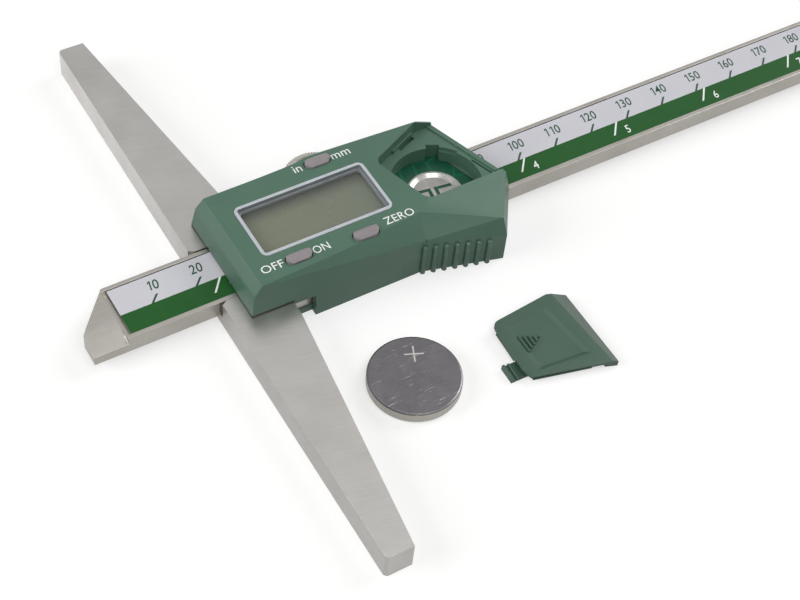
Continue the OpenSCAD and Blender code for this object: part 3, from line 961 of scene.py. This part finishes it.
@dataclass
class GraduatedBeam:
    """The sliding beam with its grid, its printed film and its stop screw, in millimetres."""

    edge: float = 0.1
    body: str = "beam"
    face: float = 6.7
    zero: float = -22.45
    inch: float = 25.4
    step: float = 10.0
    last_mm: int = 250
    last_inch: int = 10
    cap: float = 2.45
    mm_stroke: tuple[Pair, Pair] = ((0.0, -0.95), (1.85, 1.0))
    mm_width: float = 0.62
    mm_number: Pair = (2.0, 2.25)
    inch_stroke: tuple[Pair, Pair] = ((-2.7, -4.3), (0.0, -0.9))
    inch_width: float = 0.5
    inch_number: Pair = (1.3, -4.95)
    inch_share: float = 0.9

    def build(self) -> None:
        """Softens the beam, dresses what lies in it and prints the film."""
        softened("beam", "beam_bar", self.body, BEAM_STEEL, self.edge)
        dress("scale_grid", GRID_BOARD)
        dress("scale_label", SCALE_FILM)
        dress("stop_screw", ZINC_STEEL)
        self.print_millimetres()
        self.print_inches()

    def mark(self, ink: Ink, at: float, ends: tuple[Pair, Pair], width: float) -> Obj:
        """One slanted stroke of the scale.

        Args:
            ink: The ink that prints it.
            at: Its place along the beam in millimetres.
            ends: Its lower and upper end from there.
            width: Its width along the beam.

        Returns:
            The mesh object.
        """
        start, end = ((at + x, y) for x, y in ends)
        return ink.stroke(start, end, width)

    def print_millimetres(self) -> None:
        """Dark green strokes every 10 mm on the white half, each with its number."""
        ink = Ink(GREEN_INK, self.face, swell=0.03)
        first = self.zero + self.step
        mark = self.mark(ink, first, self.mm_stroke, self.mm_width)
        count = self.last_mm // int(self.step)
        parts = ink.copies(mark, [self.step * i for i in range(1, count)])
        for i in range(1, count + 1):
            value = i * int(self.step)
            place = self.zero + value + self.mm_number[0]
            parts += ink.number(str(value), place, self.mm_number[1], self.cap)
        ink.lay(parts, "scale_print_mm", self.body)

    def print_inches(self) -> None:
        """White strokes every inch on the green half, each with its number beside it."""
        ink = Ink(WHITE_INK, self.face, swell=0.02)
        first = self.zero + self.inch
        mark = self.mark(ink, first, self.inch_stroke, self.inch_width)
        parts = ink.copies(mark, [self.inch * i for i in range(1, self.last_inch)])
        for i in range(1, self.last_inch + 1):
            place = self.zero + self.inch * i + self.inch_number[0]
            height = self.inch_share * self.cap
            parts += ink.number(str(i), place, self.inch_number[1], height)
        ink.lay(parts, "scale_print_inch", self.body)


@dataclass
class DisplayHousing:
    """The moulded housing with its display, its buttons and the words beside them.

    Sizes are in millimetres and creases in degrees.
    """

    edge: float = 0.45
    top: float = 15.2
    body: str = "slider"
    words: tuple[Word, ...] = (
        Word("OFF", 7.92, -10.6, 1.95, 1.06),
        Word("ON", 20.0, -10.6, 1.95, 0.88),
        Word("ZERO", 37.25, -10.35, 1.95, 0.98),
        Word("in", 26.86, 11.15, 2.13, 1.0),
        Word("mm", 36.03, 11.07, 2.13, 1.0),
    )
    buttons: tuple[str, ...] = ("button_power", "button_zero", "button_units")
    rim_edge: float = 0.14
    button_edge: float = 0.3
    button_crease: float = 20.0
    # The shell's rounded edges are sharp, long, high up, and in front or on the far side.
    crease: float = 17.0
    shortest: float = 3.0
    lowest: float = 7.3
    front_end: float = 6.6
    far_side: float = 13.2
    slack: float = 0.05
    # Where the rim's inner walls and ledge lie.
    wall_tilt: float = 0.6
    ledge: float = 0.3
    window: Pair = (25.8, 0.7)
    window_half: Pair = (15.0, 6.75)

    def build(self) -> None:
        """Softens the mouldings, dresses the display and prints the words."""
        softened(
            "housing",
            "housing_shell",
            self.body,
            HOUSING_ABS,
            self.edge,
            own_way=self.round_long_edges,
        )
        rim = softened(
            "lcd_bezel", "display_frame", self.body, BEZEL_LACQUER, self.rim_edge
        )
        # The walls and ledge round the window take painted shade.
        skin(rim, BEZEL_PAINTED_SHADE, self.inner_wall)
        dress("lcd_window", PANE_ACRYLIC)
        dress("lcd_panel", LCD_GLASS)
        dress("beam_wiper", WIPER_POM)
        for node in self.buttons:
            softened(
                node,
                node + "_cap",
                node,
                BUTTON_ABS,
                self.button_edge,
                self.button_crease,
            )
        ink = Ink(WHITE_INK, self.top)
        ink.lay([ink.word(word) for word in self.words], "housing_print", self.body)

    def round_long_edges(self, obj: Obj, radius: float) -> None:
        """Rounds the shell's long edges, and leaves the short ones of its slots and ribs crisp.

        Args:
            obj: The shell's mesh.
            radius: Width of the rounding in millimetres.
        """
        edit(obj, "EDGE")
        bpy.ops.mesh.edges_select_sharp(sharpness=math.radians(self.crease))
        bpy.ops.mesh.mark_sharp()
        leave_edit()
        mesh = obj.data
        chosen = [
            line.select and self.rounded(*(mesh.vertices[i].co / MM for i in line.vertices))
            for line in mesh.edges
        ]
        mesh.polygons.foreach_set("select", [False] * len(mesh.polygons))
        mesh.vertices.foreach_set("select", [False] * len(mesh.vertices))
        mesh.edges.foreach_set("select", chosen)
        bpy.ops.object.mode_set(mode="EDIT")
        bpy.ops.mesh.mark_sharp(clear=True)
        bpy.ops.mesh.bevel(offset=radius * MM, segments=3, affect="EDGES", clamp_overlap=False)
        leave_edit()

    def rounded(self, start: Vector, end: Vector) -> bool:
        """Whether an edge is one of the long ones at the front end or on top of the far side.

        Args:
            start: One end in millimetres.
            end: The other end.

        Returns:
            True for such an edge.
        """
        middle = (start + end) / 2
        if (start - end).length < self.shortest or max(start.z, end.z) < self.lowest:
            return False
        if max(start.x, end.x) < self.front_end:
            return True
        return min(start.z, end.z) > self.top - self.slack and middle.y > self.far_side

    def inner_wall(self, co: Vector, normal: Vector) -> bool:
        """Whether a face of the rim is on the walls or the ledge round the window.

        Args:
            co: The face's centre in metres.
            normal: Its normal.

        Returns:
            True there.
        """
        inside = (
            abs(co.x / MM - self.window[0]) < self.window_half[0]
            and abs(co.y / MM - self.window[1]) < self.window_half[1]
        )
        low = co.z < (self.top - self.ledge) * MM
        return inside and (abs(normal.z) < self.wall_tilt or low)


@dataclass
class Electronics:
    """The board with its switches, screws and battery contacts."""

    def build(self) -> None:
        """Dresses every part of the electronics."""
        dress("main_board", BOARD_MASK)
        dress("zebra_strips", ZEBRA_SILICONE)
        dress("board_screws", ZINC_STEEL)
        dress("switch_domes", SPRING_STEEL)
        dress("battery_dish", CONTACT_NICKEL)
        dress("battery_clip", CONTACT_GOLD)


@dataclass
class ThumbRoller:
    """The knurled roller that drives the beam, on its pin, in millimetres."""

    centre: Pair = (34.8, 14.98)
    low: float = 2.9
    height: float = 3.9
    radius: float = 7.68
    teeth: int = 68
    tooth: float = 0.3
    rim: float = 1.3
    dish: float = 0.4
    hub: float = 2.0
    bore: float = 1.05
    bevel: float = 0.25
    crease: float = 20.0
    upright: float = 0.99
    body: str = "thumb_roller"

    def middle(self) -> Vector:
        """The roller's centre in metres."""
        return Vector((self.centre[0], self.centre[1], self.low + self.height / 2)) * MM

    def build(self) -> None:
        """Models the knurled roller and dresses its pin."""
        deselect()
        bpy.ops.mesh.primitive_cylinder_add(
            vertices=2 * self.teeth,
            radius=self.radius * MM,
            depth=self.height * MM,
            location=self.middle(),
        )
        obj = bpy.context.object
        settle(obj, "roller_knurled")
        self.chamfer(obj)
        self.hollow(obj)
        self.cut_teeth(obj)
        only(obj)
        bpy.ops.object.shade_smooth_by_angle(angle=math.radians(self.crease))
        finish_with(obj, ROLLER_STEEL)
        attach(obj, self.body)
        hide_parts("thumb_roller")
        dress("roller_pin", ZINC_STEEL)
        log.info("roller with %d teeth", self.teeth)

    def chamfer(self, obj: Obj) -> None:
        """Breaks the two outer edges.

        Args:
            obj: The roller.
        """
        edit(obj, "EDGE")
        middle = self.middle()
        half = self.height / 2 * MM
        pick(obj, "edges", lambda co, _: abs(abs(co.z - middle.z) - half) < NEAR)
        bpy.ops.mesh.bevel(offset=self.bevel * MM, segments=1)
        leave_edit()

    def hollow(self, obj: Obj) -> None:
        """Sinks both faces between the rim and the hub, and bores the hub.

        Args:
            obj: The roller.
        """
        middle = self.middle()
        half = self.height / 2 * MM
        for side in (1, -1):
            edit(obj, "FACE")
            face = middle.z + side * half
            pick(
                obj,
                "polygons",
                lambda co, n: n.z * side > self.upright and abs(co.z - face) < NEAR,
            )
            inner = self.radius - self.bevel
            for radius, sink in ((self.radius - self.rim, 1), (self.hub, -1)):
                bpy.ops.mesh.inset(thickness=(inner - radius) * MM)
                bpy.ops.mesh.extrude_region_move(
                    TRANSFORM_OT_translate={"value": (0.0, 0.0, -side * sink * self.dish * MM)}
                )
                inner = radius
            bpy.ops.mesh.inset(thickness=(self.hub - self.bore) * MM)
            leave_edit()
        edit(obj, "FACE")
        pick(
            obj,
            "polygons",
            lambda co, n: abs(n.z) > self.upright and (co - middle).xy.length < 10 * NEAR,
        )
        bpy.ops.mesh.bridge_edge_loops()
        select_whole()
        bpy.ops.mesh.normals_make_consistent(inside=False)
        leave_edit()

    def cut_teeth(self, obj: Obj) -> None:
        """Draws every other column of the rim inward.

        Args:
            obj: The roller.
        """
        middle = self.middle()
        pitch = math.tau / (2 * self.teeth)

        def valley(co: Vector, _: Vector) -> bool:
            """Whether a vertex is on the rim in every other column.

            Args:
                co: Its place in metres.
                _: Its normal, which is not used.

            Returns:
                True for the vertices to draw in.
            """
            arm = (co - middle).xy
            column = round(math.atan2(arm.x, arm.y) / pitch)
            return arm.length > (self.radius - self.tooth) * MM and column % 2 == 0

        edit(obj)
        pick(obj, "vertices", valley)
        share = (self.radius - self.tooth) / self.radius
        bpy.ops.transform.resize(value=(share, share, 1.0), center_override=middle)
        leave_edit()


@dataclass
class BackCover:
    """The moulded back cover and its screws."""

    edge: float = 0.25
    body: str = "slider"

    def build(self) -> None:
        """Softens the cover and dresses its screws."""
        softened("back_cover", "back_shell", self.body, BACK_ABS, self.edge)
        dress("cover_screws", ZINC_STEEL)


@dataclass
class LoosePieces:
    """The battery cover and the coin cell that lie beside the caliper, in millimetres."""

    edge: float = 0.12
    flap_tilt: Pair = (0.9, 0.975)
    flap_lean: float = 0.2
    flap_from: float = 60.0
    cell_face: float = 3.2
    plus_at: Pair = (30.5, -34.8)
    plus_arm: float = 4.1
    plus_width: float = 0.34
    plus_turn: float = -23.0
    plus_film: float = 0.01
    plus_lift: float = 0.002
    body: str = "slider"

    def build(self) -> None:
        """Softens the cover, dresses the cell and marks its plus side."""
        lid = softened(
            "battery_cover", "battery_lid", self.body, COVER_ABS, self.edge
        )
        # The sloping flap is painted paler: a painted sheen.
        skin(lid, FLAP_PAINTED_SHEEN, self.flap)
        dress("coin_cell", CELL_STEEL)
        ink = Ink(MARKED_STEEL, self.cell_face, self.plus_film)
        half = self.plus_arm / 2
        bars = [ink.stroke((0.0, -half), (0.0, half), self.plus_width) for _ in range(2)]
        for bar, turn in zip(bars, (self.plus_turn, self.plus_turn + 90.0)):
            bar.rotation_euler.z = math.radians(turn)
            bar.location.x, bar.location.y = (place * MM for place in self.plus_at)
        bars[1].location.z += self.plus_lift * MM
        ink.lay(bars, "cell_plus_mark", self.body)

    def flap(self, co: Vector, normal: Vector) -> bool:
        """Whether a face belongs to the lid's sloping rear flap.

        Args:
            co: The face's centre in metres.
            normal: Its normal.

        Returns:
            True if it leans as the flap does and lies at the rear.
        """
        leans = self.flap_tilt[0] < normal.z < self.flap_tilt[1] and normal.x > self.flap_lean
        return leans and co.x > self.flap_from * MM


# ---- studio


@dataclass
class Lamp:
    """A soft rectangular lamp, placed and aimed in metres."""

    name: str
    place: tuple[float, float, float]
    size: Pair
    watts: float
    aim: tuple[float, float, float] = (0.04, 0.0, 0.0)

    def build(self) -> None:
        """Adds the lamp."""
        deselect()
        bpy.ops.object.light_add(type="AREA", location=self.place)
        lamp = bpy.context.object
        lamp.name = lamp.data.name = self.name
        lamp.data.shape = "RECTANGLE"
        lamp.data.size, lamp.data.size_y = self.size
        lamp.data.energy = self.watts
        toward = Vector(self.aim) - Vector(self.place)
        lamp.rotation_euler = toward.to_track_quat("-Z", "Y").to_euler()


@dataclass
class Studio:
    """A white table, a white surround, three soft lamps and the photograph's camera.

    The camera is placed in millimetres and turned in degrees. The floor's place is in metres, and
    both mirrored pairs are strengths at the two ends of the grade below them.
    """

    floor_size: float = 6.0
    floor_level: float = -0.00002
    floor_speck: float = 1 / 900
    floor_relief: float = 0.000002
    camera_place: tuple[float, float, float] = (-99.032, -211.003, 292.126)
    camera_turn: tuple[float, float, float] = (38.6475, -4.4381, -30.6386)
    focal: float = 78.8317
    shift: Pair = (-0.02203, 0.00096)
    fill: float = 0.18
    floor_glow: float = 0.55
    floor_mirrored: Pair = (0.34, 0.62)
    floor_grade: Pair = (-0.02, 0.05)
    floor_tones: tuple[str, str] = ("#bcbcbb", "#b9b9b8")
    floor_shaded: str = "#bdbdbc"
    sky_mirrored: Pair = (0.72, 1.02)
    sky_grade: Pair = (0.7, 0.87)
    lamps: tuple[Lamp, ...] = field(
        default_factory=lambda: (
            Lamp("key_lamp", (1.15, 0.05, 0.95), (0.8, 0.8), 7.0),
            Lamp("front_lamp", (-1.1, 0.3, 0.7), (0.8, 0.8), 10.0),
            Lamp("high_lamp", (-0.1, -0.75, 1.2), (0.9, 0.9), 8.5),
        )
    )

    def build(self) -> None:
        """Builds the floor, surround, lamps and camera."""
        self.surround()
        self.floor()
        for lamp in self.lamps:
            lamp.build()
        self.camera()

    def mirrored(self, tree: Tree) -> Socket:
        """How bright the surround is in reflections: less toward the horizon than overhead.

        Args:
            tree: The node tree.

        Returns:
            The strength.
        """
        place = add_node(tree, "TexCoord")
        split = add_node(tree, "SeparateXYZ", {0: place.outputs["Generated"]})
        grade = add_node(
            tree,
            "MapRange",
            {
                "Value": split.outputs["Z"],
                "From Min": self.sky_grade[0],
                "From Max": self.sky_grade[1],
                "To Min": self.sky_mirrored[0],
                "To Max": self.sky_mirrored[1],
            },
        )
        return grade.outputs[0]

    def seen_directly(self, tree: Tree) -> Socket:
        """1 on camera, glossy and transmission rays, and 0 on the others.

        Args:
            tree: The node tree.

        Returns:
            The factor.
        """
        path = add_node(tree, "LightPath")
        first = add_node(
            tree,
            "Math",
            {0: path.outputs["Is Camera Ray"], 1: path.outputs["Is Glossy Ray"]},
            operation="MAXIMUM",
        )
        both = add_node(
            tree,
            "Math",
            {0: first.outputs[0], 1: path.outputs["Is Transmission Ray"]},
            operation="MAXIMUM",
        )
        return both.outputs[0]

    def surround(self) -> None:
        """White where it is seen, graded where it is mirrored, and a plain light elsewhere."""
        world = bpy.data.worlds.new("white_surround")
        bpy.context.scene.world = world
        world.use_nodes = True
        tree = world.node_tree
        tree.nodes.clear()
        path = add_node(tree, "LightPath")
        glossy = add_node(
            tree,
            "Mix",
            {0: path.outputs["Is Glossy Ray"], 2: 1.0, 3: self.mirrored(tree)},
            data_type="FLOAT",
        )
        strength = add_node(
            tree,
            "Mix",
            {0: self.seen_directly(tree), 2: self.fill, 3: glossy.outputs[0]},
            data_type="FLOAT",
        )
        light = add_node(
            tree, "Background", {"Color": (1.0, 1.0, 1.0, 1.0), "Strength": strength.outputs[0]}
        )
        add_node(tree, "OutputWorld", {"Surface": light.outputs[0]})

    def floor(self) -> None:
        """A table top of matt white laminate, evenly pale, that keeps soft shadows."""
        deselect()
        level = (0.0, 0.0, self.floor_level)
        bpy.ops.mesh.primitive_plane_add(size=self.floor_size, location=level)
        table = bpy.context.object
        table.name = table.data.name = "table_top"
        # Melamine laminate with a matt print: a fine even speck about 1 mm across.
        material = bpy.data.materials.new("matt_white_laminate")
        material.use_nodes = True
        tree = material.node_tree
        tree.nodes.clear()
        place = add_node(tree, "TexCoord").outputs["Object"]
        scale = 1 / self.floor_speck
        speck = add_node(tree, "TexNoise", {"Vector": place, "Scale": scale}).outputs["Fac"]
        pale, dull = (linear(colour) for colour in self.floor_tones)
        tone = add_node(tree, "Mix", {0: speck, 6: pale, 7: dull}, data_type="RGBA")
        relief = add_node(tree, "Bump", {"Height": speck, "Distance": self.floor_relief})
        matt = add_node(
            tree, "BsdfDiffuse", {"Color": tone.outputs[2], "Normal": relief.outputs[0]}
        )
        path = add_node(tree, "LightPath")
        split = add_node(tree, "SeparateXYZ", {0: place})
        mirrored = add_node(
            tree,
            "MapRange",
            {
                "Value": split.outputs["Y"],
                "From Min": self.floor_grade[0],
                "From Max": self.floor_grade[1],
                "To Min": self.floor_mirrored[0],
                "To Max": self.floor_mirrored[1],
            },
        )
        power = add_node(
            tree,
            "Mix",
            {0: path.outputs["Is Glossy Ray"], 2: self.floor_glow, 3: mirrored.outputs[0]},
            data_type="FLOAT",
        )
        glow = add_node(tree, "Emission", {"Strength": power.outputs[0]})
        shown = add_node(tree, "AddShader", {0: matt.outputs[0], 1: glow.outputs[0]})
        paper = add_node(tree, "BsdfDiffuse", {"Color": linear(self.floor_shaded)})
        mixed = add_node(
            tree,
            "MixShader",
            {0: self.seen_directly(tree), 1: paper.outputs[0], 2: shown.outputs[0]},
        )
        add_node(tree, "OutputMaterial", {"Surface": mixed.outputs[0]})
        table.data.materials.append(material)

    def camera(self) -> None:
        """The camera at the photograph's place, turn and framing."""
        deselect()
        bpy.ops.object.camera_add(
            location=Vector(self.camera_place) * MM,
            rotation=[math.radians(a) for a in self.camera_turn],
        )
        camera = bpy.context.object
        camera.name = camera.data.name = "photo_camera"
        camera.data.sensor_width = 36.0
        camera.data.lens = self.focal
        camera.data.shift_x, camera.data.shift_y = self.shift
        camera.data.clip_start = 0.01
        camera.data.clip_end = 20.0
        bpy.context.scene.camera = camera


# ---- the whole


def main() -> None:
    """Builds every sub-assembly and the studio in order."""
    logging.basicConfig(level=logging.INFO, format="%(name)s: %(message)s")
    bpy.context.scene.view_settings.view_transform = "Standard"
    for assembly in (
        Studio(),
        SliderFrame(),
        GraduatedBeam(),
        DisplayHousing(),
        Electronics(),
        ThumbRoller(),
        BackCover(),
        LoosePieces(),
    ):
        assembly.build()
        log.info("%s is done", type(assembly).__name__)


if __name__ == "__main__":
    main()
